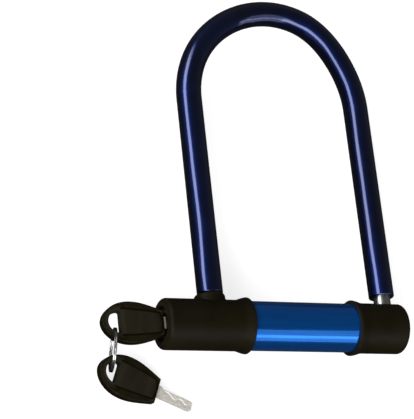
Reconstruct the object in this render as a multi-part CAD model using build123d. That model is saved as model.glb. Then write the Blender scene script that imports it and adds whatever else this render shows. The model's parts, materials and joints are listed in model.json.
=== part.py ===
from build123d import *
import math
import os

# U lock lying flat, with a key in its lock cylinder, a spare key and a split ring.
# X runs along the crossbar (lock end -X, hinge end +X), Y up the shackle legs, Z up
# off the table. The origin is on the crossbar axis, midway between the legs.
# Sizes are in millimetres. X0/X1 and Y0/Y1 are the low and high ends of a piece.
# Cutters overrun the pieces they cut, so their far limits are loose.

# ---- fits
RUN = 0.05              # running clearance
PRESS = 0.01            # radial fit of the hinge bush and hinge pin
PIN_FIT = 0.02          # radial fit of the pins through the housing

# ---- shackle
LEG_X = 66.0            # leg centre line, each side of the origin
FOOT_X = -LEG_X         # free leg
PIVOT_X = LEG_X         # hinge leg
BEND_Y = 167.4          # where the straight legs run into the bow
# (x, y) on the bow centre line, from the hinge leg to the free leg; fuller over
# the hinge leg, the way the bar comes off the bender
BOW_POINTS = [
    (56.6, 205.68), (34.13, 232.12), (0.0, 239.58), (-32.02, 228.46), (-55.29, 204.92),
]
ROD_R = 6.0             # hardened steel rod
SLEEVE_R = 9.0          # vinyl sleeve, outside
SLEEVE_BORE_R = ROD_R + 0.05
SLEEVE_FREE_Y = 21.7    # sleeve end on the free leg
SLEEVE_HINGE_Y = 22.9   # sleeve end on the hinge leg
FOOT_TIP_Y = -4.2
NOTCH_R0, NOTCH_R1 = 6.7, 13.0  # annular notch in the foot, about the crossbar axis
NOTCH_X = -65.9         # floor of the notch
EYE_HALF = 5.0          # half thickness of the flattened hinge eye
EYE_FLAT_Y = 10.5       # the flats run this far up the leg
OPEN_DEG = 66.0         # shackle swing

# ---- crossbar
HOUSING_R, HOUSING_BORE_R = 15.0, 12.0
HOUSING_X0, HOUSING_X1 = -97.9, 73.4
INSERT_R = HOUSING_BORE_R - 0.05  # pieces that slide into the housing
TUBE_R, TUBE_BORE_R = 17.0, HOUSING_R + 0.1
TUBE_X0, TUBE_X1 = -46.2, 41.7
COVER_R_LOCK, COVER_R_HINGE = 17.5, 17.6
COVER_BORE_R = HOUSING_R + 0.05
COVER_GAP = 0.1         # end gap from the covers to the tube and housing
COVER_ROUND = 3.0       # rounding of the closed end
LIP_R, LIP_FLARE = 19.4, 9.0
LOCK_END_X, LOCK_LIP_X = -104.0, -41.7
HINGE_LIP_X, HINGE_END_X = 37.2, 77.0
DISH_DEPTH = 2.6
BOSS_X, BOSS_R, BOSS_TOP_Y = -66.8, 10.8, 21.3
FOOT_HOLE_R = ROD_R + 0.15
FOOT_HOLE_SHIFT = 1.9   # the foot leaves along an arc, so its hole is a short slot
BUSH_X = FOOT_X + FOOT_HOLE_SHIFT / 2
BUSH_R, BUSH_TOP_Y = 8.4, 21.55
SOCKET_X0, SOCKET_X1 = -65.4, -50.0

# ---- pins through the housing
PIN_END = HOUSING_R - 0.1   # pin ends, measured from the crossbar axis
SOCKET_PIN_X, SOCKET_PIN_HOLE_R = -54.5, 2.0
ROLL_HOLE_R, ROLL_BORE_R = 1.5, 0.8
ROLL_SLIT_HALF = 0.2
CYLINDER_ROLL_X, CYLINDER_ROLL_Y = -86.0, 8.0   # hole place and inner end
BLOCK_ROLL_X, BLOCK_ROLL_Y = 50.0, 6.0

# ---- hinge
HINGE_PIN_R, HINGE_PIN_HALF = 2.5, 11.3
HINGE_BUSH_R = 3.5
WASHER_R = 5.6
SLOT_HALF = 6.3
BLOCK_X0, BLOCK_X1 = 46.0, 72.6

# ---- lock cylinder
PLUG_R = 6.5
PLUG_X0, PLUG_X1 = -101.1, -74.25
FLANGE_R, FLANGE_X1 = 7.2, -97.7
FACE_RING_X0 = -97.6
SHELL_X0, SHELL_X1 = -95.0, -76.4
PIN_PITCH = 3.4
PIN_XS = [-92.6 + PIN_PITCH * i for i in range(5)]
PIN_R = 1.3
CHAMBER_R = PIN_R + RUN
SPRING_R, SPRING_WIRE_R, SPRING_Z = 1.0, 0.14, 9.22
CLIP_X0, CLIP_X1 = SHELL_X1 + 0.05, SHELL_X1 + 0.85
CAM_X0, CAM_X1 = -74.2, -72.3
CAM_R = 11.6
CAM_SQUARE_HALF = 3.2   # square drive on the end of the plug
NOSE_R0, NOSE_X1, NOSE_HALF_DEG = 7.0, -66.3, 25.0

# ---- keys
HEAD_L, HEAD_T = 44.0, 6.6
KEY_FLAT_X = -102.8     # flat end of the inserted key's head
BLADE_W, BLADE_T, BLADE_L = 7.0, 2.4, 27.2
KEY_TIP_X = KEY_FLAT_X + BLADE_L
SPARE_POS = (-105.9, -42.6, -15.25)
SPARE_YAW, SPARE_PITCH = -21.5, 6.0
HEAD_HOLE_X = 13.3      # straight side of the ring hole
# (distance from the head tip, half width) of the key head
HEAD_OUTLINE = [
    (3.0, 7.30), (6.0, 10.08), (10.0, 12.38), (15.0, 13.92), (20.0, 14.40),
    (25.0, 14.11), (30.0, 13.15), (35.0, 11.71), (40.0, 10.08), (44.0, 8.69),
]
# (distance from the head's flat end, offset across the blade) of the groove centre
BLADE_TRACK = [
    (5.0, 1.1), (8.0, 1.8), (11.0, 0.3), (14.0, -0.9), (17.0, 0.9),
    (20.0, 0.4), (22.6, -1.0), (25.2, 0.1), (28.3, 0.6),
]
TRACK_HALF_W, TRACK_DEPTH = 1.05, 0.55

# ---- split ring
RING_CENTRE = (-138.48, -17.6, -3.42)
RING_NORMAL = (0.9645, -0.15, 0.2176)
RING_IN, RING_OUT = 13.6, 14.9
COIL_T, COIL_OFFSET = 1.0, 0.04     # offset of each coil from the middle plane


# ============================================================ helpers
def upright(radius, length):
    """Cylinder standing on the origin along Z."""
    return Cylinder(radius, length, align=(Align.CENTER, Align.CENTER, Align.MIN))


def x_rod(radius, x0, x1):
    """Solid cylinder on the crossbar axis."""
    return Pos(x0, 0, 0) * Rot(0, 90, 0) * upright(radius, x1 - x0)


def y_rod(radius, y0, y1, x):
    return Pos(x, y0, 0) * Rot(-90, 0, 0) * upright(radius, y1 - y0)


def z_rod(radius, z0, z1, x):
    return Pos(x, 0, z0) * upright(radius, z1 - z0)


def y_rod_pair(radius, inner, outer, x):
    """Two rods along Y, one each side of the crossbar axis."""
    return y_rod(radius, inner, outer, x) + y_rod(radius, -outer, -inner, x)


def box(x0, x1, y0, y1, z0, z1):
    return Pos((x0 + x1) / 2, (y0 + y1) / 2, (z0 + z1) / 2) * Box(x1 - x0, y1 - y0, z1 - z0)


def foot_slot(radius, y0, y1):
    """Obround prism along Y that clears the free foot."""
    x0, x1 = FOOT_X, FOOT_X + FOOT_HOLE_SHIFT
    ends = y_rod(radius, y0, y1, x0) + y_rod(radius, y0, y1, x1)
    return ends + box(x0, x1, y0, y1, -radius, radius)


def lathe(points):
    """Closed (x, radius) polygon turned about the X axis."""
    outline = Polyline([(x, radius, 0) for x, radius in points], close=True)
    return revolve(make_face(outline), Axis.X, 360)


def group(items):
    return Compound(children=list(items))


def save(shape, name):
    shape.label = name
    export_step(shape, "parts/" + name + ".step")


# ============================================================ shackle
def bow_path():
    """Cubic pieces through BOW_POINTS with matched slopes, upright at both legs."""
    points = [(LEG_X, BEND_Y)] + BOW_POINTS + [(-LEG_X, BEND_Y)]
    count = len(points)
    spans = [math.dist(points[k], points[k + 1]) for k in range(count - 1)]
    slopes = [(0.0, 1.0)] + [(-1.0, 0.0)] * (count - 2) + [(0.0, -1.0)]

    def matched(k, axis):
        """Slope at point k that gives equal curvature in the pieces either side."""
        before, after = 1 / spans[k - 1], 1 / spans[k]
        rise_before = points[k][axis] - points[k - 1][axis]
        rise_after = points[k + 1][axis] - points[k][axis]
        pull = 3 * (rise_before * before * before + rise_after * after * after)
        pull -= before * slopes[k - 1][axis] + after * slopes[k + 1][axis]
        return pull / (2 * (before + after))

    for _ in range(200):
        for k in range(1, count - 1):
            slopes[k] = (matched(k, 0), matched(k, 1))
    pieces = []
    for k in range(count - 1):
        (ax, ay), (bx, by), third = points[k], points[k + 1], spans[k] / 3
        control_a = (ax + third * slopes[k][0], ay + third * slopes[k][1], 0)
        control_b = (bx - third * slopes[k + 1][0], by - third * slopes[k + 1][1], 0)
        pieces.append(Bezier((ax, ay, 0), control_a, control_b, (bx, by, 0)))
    return Wire(pieces)


def bow(radius):
    """Round bar along the bow, between the tops of the two legs."""
    start = Plane(origin=(LEG_X, BEND_Y, 0), z_dir=(0, 1, 0))
    return sweep(start * Circle(radius), path=bow_path())


def shackle_rod():
    free_leg = y_rod(ROD_R, FOOT_TIP_Y, BEND_Y, FOOT_X)
    free_leg = chamfer(free_leg.edges().group_by(Axis.Y)[0], 2.2)
    free_leg = fillet(free_leg.edges().group_by(Axis.Y)[0], 1.2)
    # hinge eye: end rounded about the pivot and flattened on both sides
    x0, x1 = PIVOT_X - 10, PIVOT_X + 10
    hinge_leg = y_rod(ROD_R, -ROD_R, BEND_Y, PIVOT_X)
    hinge_leg = hinge_leg & (z_rod(ROD_R, -10, 10, PIVOT_X) + box(x0, x1, 0, BEND_Y, -10, 10))
    flats = box(x0, x1, -10, EYE_FLAT_Y, EYE_HALF, 12)
    flats += box(x0, x1, -10, EYE_FLAT_Y, -12, -EYE_HALF)
    hinge_leg = hinge_leg - flats - z_rod(HINGE_BUSH_R, -12, 12, PIVOT_X)
    rod = free_leg + bow(ROD_R) + hinge_leg
    notch = x_rod(NOTCH_R1, -80, NOTCH_X) - x_rod(NOTCH_R0, -81, NOTCH_X + 1)
    return rod - (notch & box(-80, NOTCH_X, 0, 20, -10, 10))


def sleeve_solid(radius):
    free_leg = y_rod(radius, SLEEVE_FREE_Y, BEND_Y, FOOT_X)
    return free_leg + y_rod(radius, SLEEVE_HINGE_Y, BEND_Y, PIVOT_X) + bow(radius)


def shackle_sleeve():
    sleeve = sleeve_solid(SLEEVE_R)
    ends = ((SLEEVE_FREE_Y, FOOT_X), (SLEEVE_HINGE_Y, PIVOT_X))
    end_edges = [
        e for e in sleeve.edges() if any(abs(e.center().Y - y) < 0.01 for y, _ in ends)
    ]
    sleeve = fillet(end_edges, 0.9)
    sleeve = sleeve - sleeve_solid(SLEEVE_BORE_R)
    for y, x in ends:
        sleeve = sleeve - y_rod(SLEEVE_BORE_R, y - 1, y + 1, x)
    return sleeve


def hinge_bush():
    bush = z_rod(HINGE_BUSH_R - PRESS, -EYE_HALF, EYE_HALF, PIVOT_X)
    return bush - z_rod(HINGE_PIN_R + RUN, -6, 6, PIVOT_X)


# ============================================================ crossbar
def swing_cut(half_width, radius):
    """Clearance swept by the hinge leg as the shackle opens, with 0.6 degrees spare."""
    angle = math.radians(OPEN_DEG + 0.6)
    far_y = 46.0
    near = (radius * math.cos(angle), -radius * math.sin(angle))
    far_x = near[0] + 60 * math.sin(angle)
    far_low_y = near[1] + 60 * math.cos(angle)
    outline = Polyline(
        [(-radius, 0), (-radius, far_y), (far_x, far_y), (far_x, far_low_y), near],
        close=True,
    )
    face = make_face(outline) + Circle(radius)
    return Pos(PIVOT_X, 0, -half_width) * extrude(face, 2 * half_width)


def housing_tube():
    tube = x_rod(HOUSING_R, HOUSING_X0, HOUSING_X1)
    tube = tube - x_rod(HOUSING_BORE_R, HOUSING_X0 - 1, HOUSING_X1 + 1)
    tube -= y_rod(BUSH_R + 0.05, 0, 30, BUSH_X)
    tube -= swing_cut(SLOT_HALF + 0.1, 6.5)
    for low, high in ((10, 20), (-20, -10)):
        tube -= y_rod(ROLL_HOLE_R, low, high, CYLINDER_ROLL_X)
        tube -= y_rod(ROLL_HOLE_R, low, high, BLOCK_ROLL_X)
        tube -= z_rod(SOCKET_PIN_HOLE_R, low, high, SOCKET_PIN_X)
    return tube


def anodised_tube():
    tube = x_rod(TUBE_R, TUBE_X0, TUBE_X1) - x_rod(TUBE_BORE_R, TUBE_X0 - 1, TUBE_X1 + 1)
    return chamfer(tube.edges().filter_by(GeomType.CIRCLE), 0.3)


def cover(end_x, lip_x, body_r, wall_x, hole_r):
    """Turned end cover: closed end at end_x (inside face wall_x), flared lip at lip_x."""
    s = 1 if lip_x > end_x else -1
    flare_x, crest_x = lip_x - s * LIP_FLARE, lip_x - s * 0.9
    round_x, round_r = end_x + s * COVER_ROUND, body_r - COVER_ROUND
    tube_end_x = TUBE_X0 - COVER_GAP if s > 0 else TUBE_X1 + COVER_GAP
    flare_mid = (lip_x - s * 4.4, body_r + 0.55 * (LIP_R - body_r))
    with BuildSketch() as sketch:
        with BuildLine():
            Line((end_x, hole_r), (end_x, round_r))
            RadiusArc((end_x, round_r), (round_x, body_r), s * COVER_ROUND)
            Line((round_x, body_r), (flare_x, body_r))
            Spline(
                (flare_x, body_r), flare_mid, (crest_x, LIP_R),
                tangents=((s, 0), (s, 0.12)),
            )
            Spline((crest_x, LIP_R), (lip_x, LIP_R - 0.7), tangents=((s, 0.12), (0, -1)))
            Line((lip_x, LIP_R - 0.7), (lip_x, TUBE_R + 0.05))
            Polyline(
                (lip_x, TUBE_R + 0.05), (tube_end_x, TUBE_R + 0.05),
                (tube_end_x, COVER_BORE_R), (wall_x, COVER_BORE_R),
                (wall_x, hole_r), (end_x, hole_r),
            )
        make_face()
    return revolve(sketch.sketch, Axis.X, 360)


def on_boss_seam(edge):
    """True for the long edges where the boss meets the cover."""
    c = edge.center()
    near_boss = abs(c.X - BOSS_X) < 12 and c.Y > 8 and math.hypot(c.Y, c.Z) > 10
    return edge.geom_type != GeomType.CIRCLE and near_boss and edge.length > 20


def lock_end_cover():
    wall_x = HOUSING_X0 - COVER_GAP
    shell = cover(LOCK_END_X, LOCK_LIP_X, COVER_R_LOCK, wall_x, FLANGE_R + 0.25)
    # shallow dished ring round the keyway
    floor_x = LOCK_END_X + DISH_DEPTH
    shell -= lathe([
        (LOCK_END_X - 1, 0), (LOCK_END_X - 1, 13.0), (LOCK_END_X, 12.6),
        (floor_x, 11.2), (floor_x, 0),
    ])
    # raised boss round the free foot
    boss = y_rod(BOSS_R, 8, BOSS_TOP_Y, BOSS_X)
    boss = fillet(boss.edges().group_by(Axis.Y)[-1], 2.6)
    boss = boss - x_rod(COVER_BORE_R, -120, -40)
    shell = shell + boss
    seam = [e for e in shell.edges() if on_boss_seam(e)]
    # the blend can fail on the curved seam; the boss then keeps a sharp foot
    try:
        shell = fillet(seam, 0.8)
    except Exception:
        pass
    return shell - y_rod(BUSH_R + 0.1, 5, 40, BUSH_X)


def hinge_end_cover():
    shell = cover(HINGE_END_X, HINGE_LIP_X, COVER_R_HINGE, HOUSING_X1 + COVER_GAP, 0.0)
    return shell - swing_cut(SLOT_HALF + 0.35, 6.7)


def foot_guide_bush():
    """Steel bush round the free foot, trimmed to the bore of the housing."""
    bush = y_rod(BUSH_R, 7, BUSH_TOP_Y, BUSH_X)
    bush = chamfer(bush.edges().group_by(Axis.Y)[-1], 0.5)
    bush -= foot_slot(FOOT_HOLE_R, 0, 30)
    return bush - x_rod(HOUSING_BORE_R + 0.1, -90, -40)


def foot_socket():
    """Half cradle that catches the foot."""
    socket = x_rod(INSERT_R, SOCKET_X0, SOCKET_X1)
    socket -= foot_slot(FOOT_HOLE_R + 0.25, FOOT_TIP_Y - 0.4, 30)
    return socket - z_rod(SOCKET_PIN_HOLE_R, -20, 20, SOCKET_PIN_X)


def socket_cross_pin():
    return z_rod(SOCKET_PIN_HOLE_R - PIN_FIT, -PIN_END, PIN_END, SOCKET_PIN_X)


def hinge_block():
    block = x_rod(INSERT_R, BLOCK_X0, BLOCK_X1)
    block -= swing_cut(SLOT_HALF, 6.4)
    block -= z_rod(HINGE_PIN_R, -20, 20, PIVOT_X)
    return block - y_rod_pair(ROLL_HOLE_R, BLOCK_ROLL_Y, 20, BLOCK_ROLL_X)


def hinge_pin():
    return z_rod(HINGE_PIN_R - PRESS, -HINGE_PIN_HALF, HINGE_PIN_HALF, PIVOT_X)


def hinge_washers():
    low, high = EYE_HALF + 0.06, SLOT_HALF - 0.04
    return group(
        z_rod(WASHER_R, z0, z1, PIVOT_X) - z_rod(HINGE_PIN_R + 0.15, z0 - 1, z1 + 1, PIVOT_X)
        for z0, z1 in ((low, high), (-high, -low))
    )


def roll_pin(x, y0, y1):
    """Hollow pin along Y, slit on its +Z side."""
    pin = y_rod(ROLL_HOLE_R - PIN_FIT, y0, y1, x) - y_rod(ROLL_BORE_R, y0 - 1, y1 + 1, x)
    return pin - box(x - ROLL_SLIT_HALF, x + ROLL_SLIT_HALF, y0 - 1, y1 + 1, 0, 3)


def roll_pin_pair(x, hole_y):
    inner = hole_y + 0.2
    return group([roll_pin(x, inner, PIN_END), roll_pin(x, -PIN_END, -inner)])


def hinge_block_roll_pins():
    return roll_pin_pair(BLOCK_ROLL_X, BLOCK_ROLL_Y)


def cylinder_roll_pins():
    return roll_pin_pair(CYLINDER_ROLL_X, CYLINDER_ROLL_Y)


# ============================================================ lock cylinder
def cylinder_face_ring():
    return x_rod(INSERT_R, FACE_RING_X0, SHELL_X0 - 0.05) - x_rod(PLUG_R + RUN, -99, -90)


def cylinder_shell():
    shell = x_rod(INSERT_R, SHELL_X0, SHELL_X1)
    shell = shell - x_rod(PLUG_R + RUN, SHELL_X0 - 1, SHELL_X1 + 1)
    for x in PIN_XS:
        shell -= z_rod(CHAMBER_R, 5, 11.2, x)
        shell -= z_rod(1.75, 11.0, 13, x)    # seat of the spring cap
    return shell - y_rod_pair(ROLL_HOLE_R, CYLINDER_ROLL_Y, 14, CYLINDER_ROLL_X)


def driver_pins():
    return group(z_rod(PIN_R, 6.62, 9.0, x) for x in PIN_XS)


def spring_caps():
    return group(z_rod(1.7, 11.05, 11.65, x) for x in PIN_XS)


def key_pins():
    return group(z_rod(PIN_R, BLADE_T / 2 + RUN, 6.35, x) for x in PIN_XS)


def pin_spring(x):
    path = Helix(pitch=0.5, height=1.6, radius=SPRING_R)
    section = Plane(path @ 0, z_dir=path % 0) * Circle(SPRING_WIRE_R)
    return Pos(x, 0, SPRING_Z) * sweep(section, path=path)


def pin_springs():
    return group(pin_spring(x) for x in PIN_XS)


def cylinder_plug():
    plug = x_rod(PLUG_R, FLANGE_X1 - 0.1, PLUG_X1 - 1.2) + x_rod(FLANGE_R, PLUG_X0, FLANGE_X1)
    plug += x_rod(5.0, PLUG_X1 - 1.3, PLUG_X1)
    plug = chamfer(plug.edges().filter_by(GeomType.CIRCLE).group_by(Axis.X)[0], 0.5)
    # keyway, then its wider mouth for the shoulder of the blade
    half_w, half_t = BLADE_W / 2, BLADE_T / 2 + RUN
    for x1, y1 in ((KEY_TIP_X + 0.2, half_w + RUN), (KEY_FLAT_X + 4.0, half_w + 1.3)):
        plug -= box(PLUG_X0 - 1, x1, -half_w - RUN, y1, -half_t, half_t)
    for x in PIN_XS:
        plug -= z_rod(CHAMBER_R, 0, 8, x)
    # groove for the retaining clip
    plug -= x_rod(8, CLIP_X0 - 0.02, CLIP_X1 + 0.02) - x_rod(5.4, -90, -60)
    # square drive with a countersunk hole for the cam screw
    half = CAM_SQUARE_HALF
    plug += box(PLUG_X1 - 0.1, CAM_X1 - 0.05, -half, half, -half, half)
    plug -= x_rod(1.25, KEY_TIP_X + 0.6, CAM_X1 + 1)
    return plug - lathe([
        (CAM_X1 - 1.3, 0), (CAM_X1 - 1.3, 1.25), (CAM_X1 + 0.1, 2.65), (CAM_X1 + 0.1, 0),
    ])


def plug_retaining_clip():
    clip = x_rod(8.6, CLIP_X0, CLIP_X1) - x_rod(5.5, -90, -60)
    return clip - box(-90, -60, -3.4, 3.4, -12, 0)


def locking_cam():
    """Disc with a crescent nose that turns into the notch of the foot."""
    half = CAM_SQUARE_HALF + 0.03
    cam = x_rod(CAM_R, CAM_X0, CAM_X1) - box(-80, -60, -half, half, -half, half)
    nose = x_rod(CAM_R, CAM_X1 - 0.2, NOSE_X1) - x_rod(NOSE_R0, -80, -60)
    reach = 20
    spread = math.tan(math.radians(NOSE_HALF_DEG)) * reach
    sector = make_face(Polyline([(0, 0), (spread, reach), (-spread, reach)], close=True))
    wedge = extrude(Plane.YZ * sector, 40, both=True)
    return cam + (nose & Pos(-70, 0, 0) * wedge)


def cam_screw():
    screw = x_rod(1.2, KEY_TIP_X + 0.7, CAM_X1 - 1.2) + lathe([
        (CAM_X1 - 1.3, 0), (CAM_X1 - 1.3, 1.2), (CAM_X1 - 0.05, 2.45), (CAM_X1 - 0.05, 0),
    ])
    return screw - box(CAM_X1 - 0.6, CAM_X1 + 1, -0.35, 0.35, -3, 3)


# ============================================================ keys
# Built with x along the key and the tip of the head at x = 0.
def head_face():
    outline = HEAD_OUTLINE[::-1] + [(0, 0)] + [(x, -half) for x, half in HEAD_OUTLINE]
    return make_face(Curve() + [Spline(*outline), Line(outline[0], outline[-1])])


def panel_face(x1, half0, half1, start_x):
    """Field from start_x to x1, with bowed sides that close in towards the blade."""
    x0 = 11.0
    mid_x, mid_half = (x0 + x1) / 2, (half0 + half1) / 2 + 0.5
    side_a = Spline((x0, half0), (mid_x, mid_half), (x1, half1))
    side_b = Spline((x1, -half1), (mid_x, -mid_half), (x0, -half0))
    end = ThreePointArc((x1, half1), (x1 + 0.9, 0), (x1, -half1))
    face = make_face(Curve() + [side_a, end, side_b, Line((x0, -half0), (x0, half0))])
    face = fillet([v for v in face.vertices() if v.X > mid_x], 1.6)
    return face & Pos(start_x + 20, 0, 0) * Rectangle(40, 40)


def key_head():
    half_t = HEAD_T / 2
    head = Pos(0, 0, -half_t) * extrude(head_face(), HEAD_T)
    rims = head.edges().filter_by(lambda e: abs(abs(e.center().Z) - half_t) < 0.01)
    head = fillet(rims, 1.1)
    # ring hole: round on the tip side, straight on the blade side
    hole = Pos(HEAD_HOLE_X, 0, 0) * Ellipse(9.0, 7.9)
    hole = hole & Pos(HEAD_HOLE_X - 10, 0, 0) * Rectangle(20, 30)
    hole = fillet(hole.vertices(), 1.3)
    head -= Pos(0, 0, -10) * extrude(hole, 20)
    # plain panel set off by a groove, running into the ring hole, both faces
    recess = panel_face(42.3, 9.9, 7.3, HEAD_HOLE_X - 0.02)
    panel = panel_face(41.2, 8.6, 6.2, HEAD_HOLE_X)
    for z in (half_t - 0.6, -half_t - 0.4):
        head -= Pos(0, 0, z) * extrude(recess, 1.0)
    for z in (half_t - 0.7, -half_t + 0.1):
        head += Pos(0, 0, z) * extrude(panel, 0.6)
    # pocket for the tang
    pocket_y, pocket_z = BLADE_W / 2 + 0.02, BLADE_T / 2 + 0.02
    return head - box(HEAD_L - 12, HEAD_L + 1, -pocket_y, pocket_y, -pocket_z, pocket_z)


def key_blade():
    half_w, half_t = BLADE_W / 2, BLADE_T / 2
    tip_x = HEAD_L + BLADE_L
    blade = box(HEAD_L - 11.9, tip_x, -half_w, half_w, -half_t, half_t)
    tip = [e for e in blade.edges().filter_by(Axis.Z) if e.center().X > tip_x - 0.1]
    blade = chamfer(tip, 1.1)
    # shoulder on the +Y edge
    blade += box(HEAD_L + 0.05, HEAD_L + 3.2, half_w - 0.5, half_w + 1.2, -half_t, half_t)
    # winding groove in each face, mirrored from one to the other
    for side, z in ((1, half_t - TRACK_DEPTH), (-1, -half_t + TRACK_DEPTH - 1.0)):
        centre = [(HEAD_L + x, side * y) for x, y in BLADE_TRACK]
        low = [(x, y - TRACK_HALF_W) for x, y in centre]
        high = [(x, y + TRACK_HALF_W) for x, y in reversed(centre)]
        edges = [Spline(*low), Line(low[-1], high[0]), Spline(*high), Line(high[-1], low[0])]
        blade -= Pos(0, 0, z) * extrude(make_face(Curve() + edges), 1.0)
    return blade


def save_keys():
    head, blade = key_head(), key_blade()
    inserted = Pos(KEY_FLAT_X - HEAD_L, 0, 0)
    turn = Rot(0, 0, SPARE_YAW) * Rot(0, SPARE_PITCH, 0)
    spare = Pos(*SPARE_POS) * turn * Pos(-HEAD_L, 0, 0)
    for place, prefix in ((inserted, "key"), (spare, "spare_key")):
        save(place * head, prefix + "_head")
        save(place * blade, prefix + "_blade")


# ============================================================ split ring
def coil(z):
    flat = Pos(0, 0, z) * (upright(RING_OUT, COIL_T) - upright(RING_IN, COIL_T))
    return fillet(flat.edges(), 0.3)


def split_ring():
    """Two flat coils, each with a gap, joined by a crossover."""
    mid_r = (RING_IN + RING_OUT) / 2
    link = Rot(0, 0, 15) * Pos(mid_r, 0, 0) * Box(RING_OUT - RING_IN - 0.1, 3.0, 0.3)
    gap_a = Rot(0, 0, 30) * Pos(mid_r, 0, 1.0) * Box(3, 0.5, 1.9)
    gap_b = Pos(mid_r, 0, -1.0) * Box(3, 0.5, 1.9)
    ring = (coil(COIL_OFFSET) - gap_a) + (coil(-COIL_OFFSET - COIL_T) - gap_b) + link
    return Plane(origin=RING_CENTRE, z_dir=RING_NORMAL) * ring


# Each function here builds the piece it is named after.
PIECES = [
    shackle_rod, shackle_sleeve, hinge_bush,
    housing_tube, anodised_tube, lock_end_cover, hinge_end_cover,
    foot_guide_bush, foot_socket, socket_cross_pin,
    hinge_block, hinge_pin, hinge_washers, hinge_block_roll_pins, cylinder_roll_pins,
    cylinder_face_ring, cylinder_shell, driver_pins, spring_caps, pin_springs,
    cylinder_plug, plug_retaining_clip, key_pins, locking_cam, cam_screw,
    split_ring,
]

os.makedirs("parts", exist_ok=True)
for build in PIECES:
    save(build(), build.__name__)
save_keys()
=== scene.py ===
"""Looks, floor, light and camera for a lock with its key.

The meshes come ready made from CAD, in metres with +Z up, and lie about the origin.
The floor is a level plane just below it. The camera looks down from the -X, -Y side.
"""
import bpy
import json
import math
from mathutils import Matrix

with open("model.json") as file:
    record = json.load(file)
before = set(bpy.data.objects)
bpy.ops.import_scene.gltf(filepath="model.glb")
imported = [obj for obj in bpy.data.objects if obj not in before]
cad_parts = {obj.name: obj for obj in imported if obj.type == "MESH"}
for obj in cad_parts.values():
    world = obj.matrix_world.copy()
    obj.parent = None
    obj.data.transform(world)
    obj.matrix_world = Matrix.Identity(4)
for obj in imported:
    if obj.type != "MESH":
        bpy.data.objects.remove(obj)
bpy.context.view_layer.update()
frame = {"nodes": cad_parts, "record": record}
nodes = frame["nodes"]
scene = bpy.context.scene

WHITE = (1.0, 1.0, 1.0, 1.0)


# ------------------------------------------------------------------ node helpers
class Graph:
    """A node tree, emptied, with short ways to add nodes to it."""

    def __init__(self, tree):
        self.tree = tree
        tree.nodes.clear()

    def feed(self, node, inputs):
        """Link or set each input; keys are socket names or indices."""
        for key, value in inputs.items():
            if isinstance(value, bpy.types.NodeSocket):
                self.tree.links.new(value, node.inputs[key])
            else:
                node.inputs[key].default_value = value

    def add(self, kind, inputs=None, **settings):
        node = self.tree.nodes.new(kind)
        for name, value in settings.items():
            setattr(node, name, value)
        self.feed(node, inputs or {})
        return node

    def math(self, operation, *values):
        node = self.add("ShaderNodeMath", dict(enumerate(values)), operation=operation)
        return node.outputs[0]

    def map_range(self, source, span=(0.3, 0.7), to=(0, 1), **settings):
        """Carry the range `span` of the source over to the range `to`."""
        inputs = dict(enumerate((source, *span, *to)))
        return self.add("ShaderNodeMapRange", inputs, **settings).outputs[0]


class Material(Graph):
    """A Principled material whose textures use object coordinates."""

    def __init__(self, name):
        self.data = bpy.data.materials.new(name)
        self.data.use_nodes = True
        super().__init__(self.data.node_tree)
        self.shader = self.add("ShaderNodeBsdfPrincipled")
        self.add("ShaderNodeOutputMaterial", {0: self.shader.outputs[0]})
        self.coords = self.add("ShaderNodeTexCoord").outputs["Object"]
        self.normal = None

    def set(self, **inputs):
        """Feed the shader; underscores stand for the spaces in socket names."""
        self.feed(self.shader, {key.replace("_", " "): v for key, v in inputs.items()})

    def noise(self, scale=1.0, detail=3, rough=0.5, stretch=None, turn=(0, 0, 0)):
        """Noise; `stretch` scales the coordinates per axis and `turn` rotates them."""
        coords = self.coords
        if stretch:
            inputs = {"Vector": coords, "Scale": stretch, "Rotation": turn}
            coords = self.add("ShaderNodeMapping", inputs).outputs[0]
        inputs = {"Vector": coords, "Scale": scale, "Detail": detail, "Roughness": rough}
        return self.add("ShaderNodeTexNoise", inputs).outputs["Fac"]

    def cells(self, scale):
        inputs = {"Vector": self.coords, "Scale": scale}
        return self.add("ShaderNodeTexVoronoi", inputs).outputs["Distance"]

    def mix(self, factor, first, second):
        inputs = {0: factor, 6: first, 7: second}  # the colour sockets are 6 and 7
        return self.add("ShaderNodeMix", inputs, data_type="RGBA").outputs[2]

    def edges(self, span, amount):
        """0 on flats, up to `amount` on the convex edges; the mask of a painted edge highlight.
        """
        pointiness = self.add("ShaderNodeNewGeometry").outputs["Pointiness"]
        return self.math("MULTIPLY", self.map_range(pointiness, span=span), amount)

    def bump(self, height, strength, distance):
        """Add a bump on top of those already there."""
        inputs = {"Height": height, "Strength": strength, "Distance": distance}
        if self.normal is not None:
            inputs["Normal"] = self.normal
        self.normal = self.add("ShaderNodeBump", inputs).outputs[0]
        self.set(Normal=self.normal)


def srgb(*channels):
    """sRGB 0..255 to a linear colour."""
    def linear(value):
        if value <= 10:
            return value / 255 / 12.92
        return ((value / 255 + 0.055) / 1.055) ** 2.4
    return (*map(linear, channels), 1.0)


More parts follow.
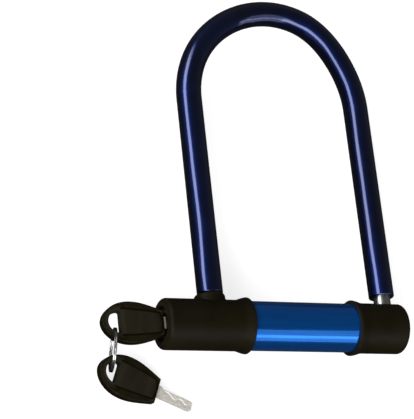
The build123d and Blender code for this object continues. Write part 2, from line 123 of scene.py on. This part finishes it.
# ------------------------------------------------------------------ materials
def sleeve_vinyl():
    """Wavy, glossy dark blue with painted shade towards the edges that turn away from view."""
    m = Material("vinyl_sleeve_blue")
    flow = m.noise(scale=26, detail=3, rough=0.55, stretch=(1, 0.35, 1))
    color = m.mix(m.map_range(flow), srgb(9, 22, 64), srgb(16, 40, 104))
    facing = m.add("ShaderNodeLayerWeight", {"Blend": 0.35}).outputs["Facing"]
    # painted shade: the colour goes darker towards the edges that turn away from view
    painted_edge_shade = m.map_range(facing, span=(0.15, 0.95), to=(0, 0.85))
    color = m.mix(painted_edge_shade, color, srgb(5, 7, 22))
    grain = m.noise(scale=160, detail=2)
    haze = m.noise(scale=90, detail=4, rough=0.6)
    m.set(
        Base_Color=color, Metallic=1.0,
        Roughness=m.map_range(grain, to=(0.28, 0.38)),
        Coat_Weight=1.0, Coat_IOR=1.55, Coat_Tint=(0.95, 0.96, 1.0, 1),
        Coat_Roughness=m.map_range(haze, span=(0.35, 0.75), to=(0.03, 0.09)),
    )
    wave = m.noise(scale=48, detail=1, rough=0.4, stretch=(1, 0.42, 1))
    m.bump(wave, strength=0.95, distance=0.0017)
    m.bump(m.noise(scale=900, detail=2), strength=0.04, distance=0.0001)
    m.set(Coat_Normal=m.normal)
    return m


def blue_anodised():
    """Bright blue metal with fine streaks along X."""
    m = Material("anodised_blue")
    streak = m.noise(detail=4, rough=0.6, stretch=(14, 900, 900))
    broad = m.noise(detail=2, stretch=(18, 60, 60))
    color = m.mix(m.map_range(streak), srgb(2, 96, 194), srgb(12, 118, 216))
    patches = m.map_range(broad, span=(0.35, 0.7), to=(0, 0.35))
    m.set(
        Base_Color=m.mix(patches, color, srgb(6, 90, 180)), Metallic=0.84,
        Roughness=m.map_range(streak, to=(0.13, 0.20)), Specular_IOR_Level=0.3,
        Coat_Weight=0.45, Coat_Roughness=0.04, Coat_IOR=1.5,
    )
    m.bump(streak, strength=0.10, distance=0.00008)
    ripple = m.noise(detail=2, stretch=(9, 150, 150))
    m.bump(ripple, strength=0.10, distance=0.0003)
    return m


def cover_vinyl():
    """Matt, pebbled near-black with a painted highlight on its edges."""
    m = Material("cover_vinyl_black")
    blotch = m.map_range(m.noise(scale=45, detail=5, rough=0.6), span=(0.3, 0.75))
    color = m.mix(blotch, srgb(16, 13, 4), srgb(24, 20, 8))
    # painted edge highlight: the convex edges are mixed towards a pale grey
    color = m.mix(m.edges(span=(0.505, 0.56), amount=0.35), color, srgb(56, 54, 44))
    grain = m.noise(scale=120, detail=4, rough=0.6)
    m.set(
        Base_Color=color, Metallic=0.0, IOR=1.48, Specular_IOR_Level=0.08,
        Roughness=m.map_range(grain, span=(0.3, 0.75), to=(0.42, 0.58)),
    )
    m.bump(m.cells(scale=1500), strength=0.18, distance=0.00010)
    m.bump(m.noise(scale=380, rough=0.6), strength=0.12, distance=0.00020)
    return m


def metal(name, base, dark, roughness, grain_scale, stretch=(1, 1, 1), bump=0.10, coat=0.0):
    """Grained, stained metal; `roughness` is the range that the grain spans."""
    m = Material(name)
    grain = m.noise(scale=grain_scale, detail=4, rough=0.6, stretch=stretch)
    stain = m.noise(scale=70, detail=4, rough=0.65)
    color = m.mix(m.map_range(grain, span=(0.25, 0.75)), base, dark)
    stained = m.map_range(stain, span=(0.52, 0.75), to=(0, 0.55))
    m.set(
        Base_Color=m.mix(stained, color, dark), Metallic=1.0, Coat_Weight=coat,
        Roughness=m.map_range(grain, span=(0.25, 0.75), to=roughness),
    )
    m.bump(grain, strength=bump, distance=0.00008)
    return m


def key_steel():
    """Nickel with a fine tumbled finish, which scatters light instead of mirroring it."""
    m = Material("key_blade_nickel")
    grain = m.noise(scale=420, detail=5, rough=0.65)
    scuff = m.noise(rough=0.6, stretch=(120, 1500, 600), turn=(0, 0, 0.36))
    color = m.mix(m.map_range(grain), srgb(250, 247, 240), srgb(226, 222, 212))
    scuffed = m.map_range(scuff, span=(0.5, 0.72), to=(0, 0.6))
    m.set(
        Base_Color=m.mix(scuffed, color, srgb(196, 190, 178)),
        Metallic=0.35, Specular_IOR_Level=0.9,
        Roughness=m.map_range(grain, span=(0.25, 0.75), to=(0.30, 0.46)),
    )
    m.bump(grain, strength=0.22, distance=0.0001)
    m.bump(scuff, strength=0.10, distance=0.00006)
    return m


def key_plastic():
    """Finely pebbled near-black with a painted highlight on its edges."""
    m = Material("key_plastic_black")
    blotch = m.map_range(m.noise(scale=110, detail=4, rough=0.6), span=(0.3, 0.75))
    color = m.mix(blotch, srgb(15, 11, 1), srgb(22, 17, 3))
    # painted edge highlight: the convex edges are mixed towards a pale grey
    color = m.mix(m.edges(span=(0.51, 0.58), amount=0.5), color, srgb(52, 50, 42))
    grain = m.noise(scale=160, rough=0.6)
    m.set(
        Base_Color=color, Specular_IOR_Level=0.08,
        Roughness=m.map_range(grain, to=(0.34, 0.50)),
    )
    m.bump(m.cells(scale=2200), strength=0.14, distance=0.00007)
    m.bump(m.noise(scale=500, detail=2), strength=0.06, distance=0.0001)
    return m


SLOT_MATERIALS = {
    "sleeve_vinyl": sleeve_vinyl(),
    "blue_anodised": blue_anodised(),
    "cover_vinyl": cover_vinyl(),
    "hardened_steel": metal(
        "zinc_plated_steel", base=srgb(206, 210, 206), dark=srgb(168, 172, 166),
        roughness=(0.22, 0.38), grain_scale=160, stretch=(1, 0.15, 1), bump=0.16, coat=0.2),
    "steel": metal(
        "machined_steel", base=srgb(150, 150, 150), dark=srgb(112, 112, 112),
        roughness=(0.28, 0.44), grain_scale=300),
    "brass": metal(
        "turned_brass", base=srgb(150, 132, 92), dark=srgb(104, 90, 60),
        roughness=(0.20, 0.34), grain_scale=300, stretch=(0.2, 1, 1)),
    "bronze": metal(
        "sintered_bronze", base=srgb(170, 130, 84), dark=srgb(120, 88, 54),
        roughness=(0.35, 0.5), grain_scale=500),
    "spring_steel": metal(
        "spring_steel", base=srgb(214, 214, 212), dark=srgb(150, 150, 150),
        roughness=(0.12, 0.24), grain_scale=400, bump=0.06),
    "key_plastic": key_plastic(),
    "key_steel": key_steel(),
}
# pieces that don't take the material of their slot
PIECE_MATERIALS = {
    # painted shade: the plug is coloured far darker than its pale metal, standing in for the
    # shade deep in the cover's end
    "cylinder_plug": metal(
        "plug_painted_shade", base=srgb(84, 76, 58), dark=srgb(44, 39, 28),
        roughness=(0.30, 0.46), grain_scale=320),
}

slot_of = {part["node"]: part["material_slot"] for part in frame["record"]["subparts"]}
for name, piece in nodes.items():
    material = PIECE_MATERIALS.get(name, SLOT_MATERIALS[slot_of[name]])
    piece.data.materials.clear()
    piece.data.materials.append(material.data)
    for polygon in piece.data.polygons:
        polygon.use_smooth = True

# ------------------------------------------------------------------ floor
FLOOR_Z = -0.01945
FLOOR_SIZE = 8
FLOOR_GLOW = 0.80  # emission, seen by the camera only
FLOOR_GREYS = (0.40, 0.40, 0.40, 1), (0.42, 0.42, 0.42, 1)
# painted shade: glossy rays see the floor nearly black, so the parts' downward faces reflect
# dark, standing in for the floor shaded under the lock
FLOOR_REFLECTED_SHADE = (0.04, 0.04, 0.04, 1)  # its colour in reflections


def floor_pale():
    m = Material("floor_pale")
    rays = m.add("ShaderNodeLightPath").outputs
    color = m.mix(m.map_range(m.noise(scale=30)), *FLOOR_GREYS)
    m.set(
        Base_Color=m.mix(rays["Is Glossy Ray"], color, FLOOR_REFLECTED_SHADE),
        Roughness=0.9, Specular_IOR_Level=0.1, Emission_Color=WHITE,
        Emission_Strength=m.math("MULTIPLY", rays["Is Camera Ray"], FLOOR_GLOW),
    )
    return m


floor_material = floor_pale()
bpy.ops.mesh.primitive_plane_add(size=FLOOR_SIZE, location=(0, 0, FLOOR_Z))
floor = bpy.context.object
floor.name = "floor"
floor.data.materials.append(floor_material.data)

# ------------------------------------------------------------------ light
# All light comes from the world: a dim dome, a broad soft band round the -X and -Y
# sides, and a stack of streaks towards +X, -Y.
# Azimuths are degrees from AZIMUTH_ZERO, elevations are degrees above the floor.
AZIMUTH_ZERO = 215  # anticlockwise from +X
DOME, DOME_LOW = 0.08, 0.11  # strength overhead and near the horizon
DOME_FADE = (92, 5)  # elevations between which it goes from DOME to DOME_LOW
BAND = 5.1  # strength
BAND_AZ, BAND_AZ_SOFT = (-88, 62), 18
BAND_EL, BAND_EL_SOFT = (21.0, 37.0), 7
# the band arches up by LIFT at azimuth PEAK, in a bell curve of width SPREAD
BAND_LIFT, BAND_PEAK, BAND_SPREAD = 12.0, 5.0, 45.0
STREAK_AZ, STREAK_AZ_SOFT = (70, 112), 10
# elevation range, its soft edge, strength
STREAKS = [
    ((19, 27), 2.0, 2.6),
    ((28, 44), 2.0, 0.75),
    ((46, 48), 1.0, 1.3),
    ((8, 18), 1.5, 0.95),
    ((1.5, 6), 1.0, 1.4),
]


def fade(sky, angle, outside, inside):
    """Smooth 0 to 1 as the angle goes from outside to inside, in either direction."""
    to = (0.0, 1.0) if inside > outside else (1.0, 0.0)
    span = sorted((outside, inside))
    return sky.map_range(angle, span=span, to=to, interpolation_type="SMOOTHSTEP")


def patch(sky, sides, strength):
    """Light inside soft-edged ranges; sides are (angle, (low, high), soft edge)."""
    light = None
    for angle, (low, high), soft in sides:
        for outside, inside in ((low - soft, low), (high + soft, high)):
            edge = fade(sky, angle, outside, inside)
            light = edge if light is None else sky.math("MULTIPLY", light, edge)
    return sky.math("MULTIPLY", light, strength)


def sky_angles(sky):
    """Azimuth (-180..180) and elevation of the direction looked in."""
    generated = sky.add("ShaderNodeTexCoord").outputs["Generated"]
    direction = sky.add("ShaderNodeVectorMath", {0: generated}, operation="NORMALIZE").outputs[0]
    x, y, z = sky.add("ShaderNodeSeparateXYZ", {0: direction}).outputs
    cos = math.cos(math.radians(AZIMUTH_ZERO))
    sin = math.sin(math.radians(AZIMUTH_ZERO))
    along = sky.math("ADD", sky.math("MULTIPLY", x, cos), sky.math("MULTIPLY", y, sin))
    across = sky.math("SUBTRACT", sky.math("MULTIPLY", y, cos), sky.math("MULTIPLY", x, sin))
    degrees = 180 / math.pi
    azimuth = sky.math("MULTIPLY", sky.math("ARCTAN2", across, along), degrees)
    elevation = sky.math("MULTIPLY", sky.math("ARCSINE", z), degrees)
    return azimuth, elevation


world = bpy.data.worlds.new("studio")
scene.world = world
world.use_nodes = True
sky = Graph(world.node_tree)
azimuth, elevation = sky_angles(sky)

offset = sky.math("DIVIDE", sky.math("SUBTRACT", azimuth, BAND_PEAK), BAND_SPREAD)
bell = sky.math("EXPONENT", sky.math("MULTIPLY", sky.math("POWER", offset, 2.0), -1.0))
band_elevation = sky.math("SUBTRACT", elevation, sky.math("MULTIPLY", bell, BAND_LIFT))

low_part = sky.math("MULTIPLY", fade(sky, elevation, *DOME_FADE), DOME_LOW - DOME)
total = sky.math("ADD", low_part, DOME)
band_sides = [(azimuth, BAND_AZ, BAND_AZ_SOFT), (band_elevation, BAND_EL, BAND_EL_SOFT)]
total = sky.math("ADD", total, patch(sky, band_sides, BAND))
for el_range, el_soft, strength in STREAKS:
    sides = [(azimuth, STREAK_AZ, STREAK_AZ_SOFT), (elevation, el_range, el_soft)]
    total = sky.math("ADD", total, patch(sky, sides, strength))
background = sky.add("ShaderNodeBackground", {"Color": WHITE, "Strength": total})
sky.add("ShaderNodeOutputWorld", {0: background.outputs[0]})

# ------------------------------------------------------------------ camera
CAMERA_PLACE = (-0.57759, -0.36698, 1.12351)
# the camera's own X, Y and Z axes; it looks along its -Z
CAMERA_AXES = (
    (0.91879, -0.1009, 0.38163),
    (-0.04456, 0.93409, 0.35426),
    (-0.39222, -0.34249, 0.85373),
)

lens = bpy.data.cameras.new("camera")
lens.sensor_fit = "HORIZONTAL"
lens.sensor_width = 36.0  # mm
lens.lens = 165.626087  # focal length, mm
lens.clip_start = 0.05
camera = bpy.data.objects.new("camera", lens)
scene.collection.objects.link(camera)
pose = Matrix(CAMERA_AXES).transposed().to_4x4()
pose.translation = CAMERA_PLACE
camera.matrix_world = pose
scene.camera = camera
scene.view_settings.view_transform = "Standard"
scene.view_settings.look = "None"
